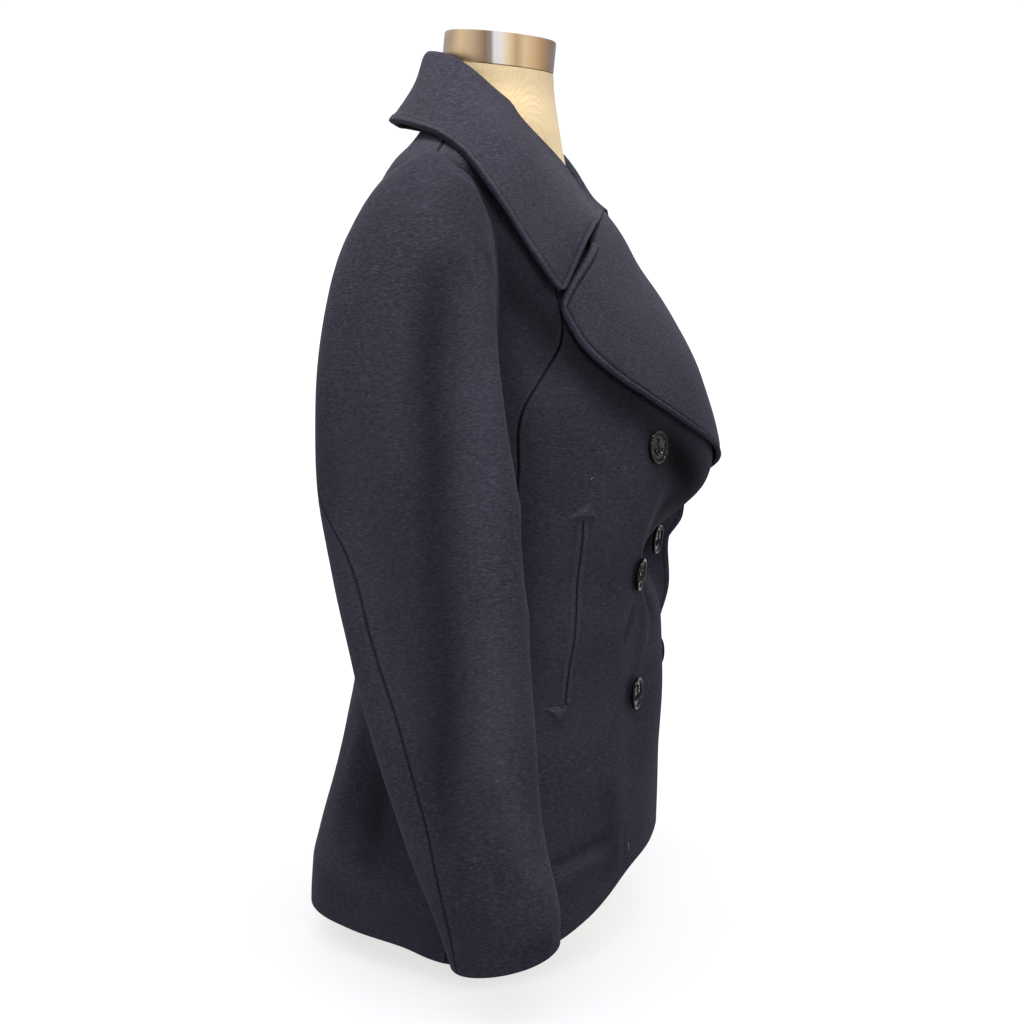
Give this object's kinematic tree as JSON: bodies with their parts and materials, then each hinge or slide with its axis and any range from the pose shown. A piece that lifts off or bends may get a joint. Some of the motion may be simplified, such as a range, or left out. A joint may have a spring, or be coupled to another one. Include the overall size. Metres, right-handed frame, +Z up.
{
  "type": "double-breasted pea coat on a limbless dress form",
  "caption": "Double-breasted wool pea coat with a wide convertible collar, peaked lapels, upright welt pockets and two-piece sleeves, worn by a limbless dress form.",
  "frame": {"origin": "middle of the dress form's flat base, on the floor", "axes": "+Z up; -Y is the wearer's front; +X is the wearer's left"},
  "size_m": [0.6324, 0.3645, 0.7792],
  "materials": {
    "melton": "dense navy wool melton, soft nap",
    "horn": "polished black horn-look plastic",
    "linen": "cream linen cover",
    "metal": "brushed, warm"
  },
  "bodies": {
    "root": {"front_right": "melton", "front_left": "melton", "side_right": "melton", "side_left": "melton", "back_right": "melton", "back_left": "melton", "sleeve_top_right": "melton", "sleeve_under_right": "melton", "sleeve_top_left": "melton", "sleeve_under_left": "melton", "collar": "melton", "lapel_right": "melton", "lapel_left": "melton", "pocket_lip_front_right": "melton", "pocket_lip_back_right": "melton", "pocket_tab_top_right": "melton", "pocket_tab_low_right": "melton", "pocket_lip_front_left": "melton", "pocket_lip_back_left": "melton", "pocket_tab_top_left": "melton", "pocket_tab_low_left": "melton", "button_right_1": "horn", "button_right_2": "horn", "button_right_3": "horn", "button_left_1": "horn", "button_left_2": "horn", "button_left_3": "horn", "dress_form": "linen", "neck_cap": "metal"}
  },
  "joints": []
}
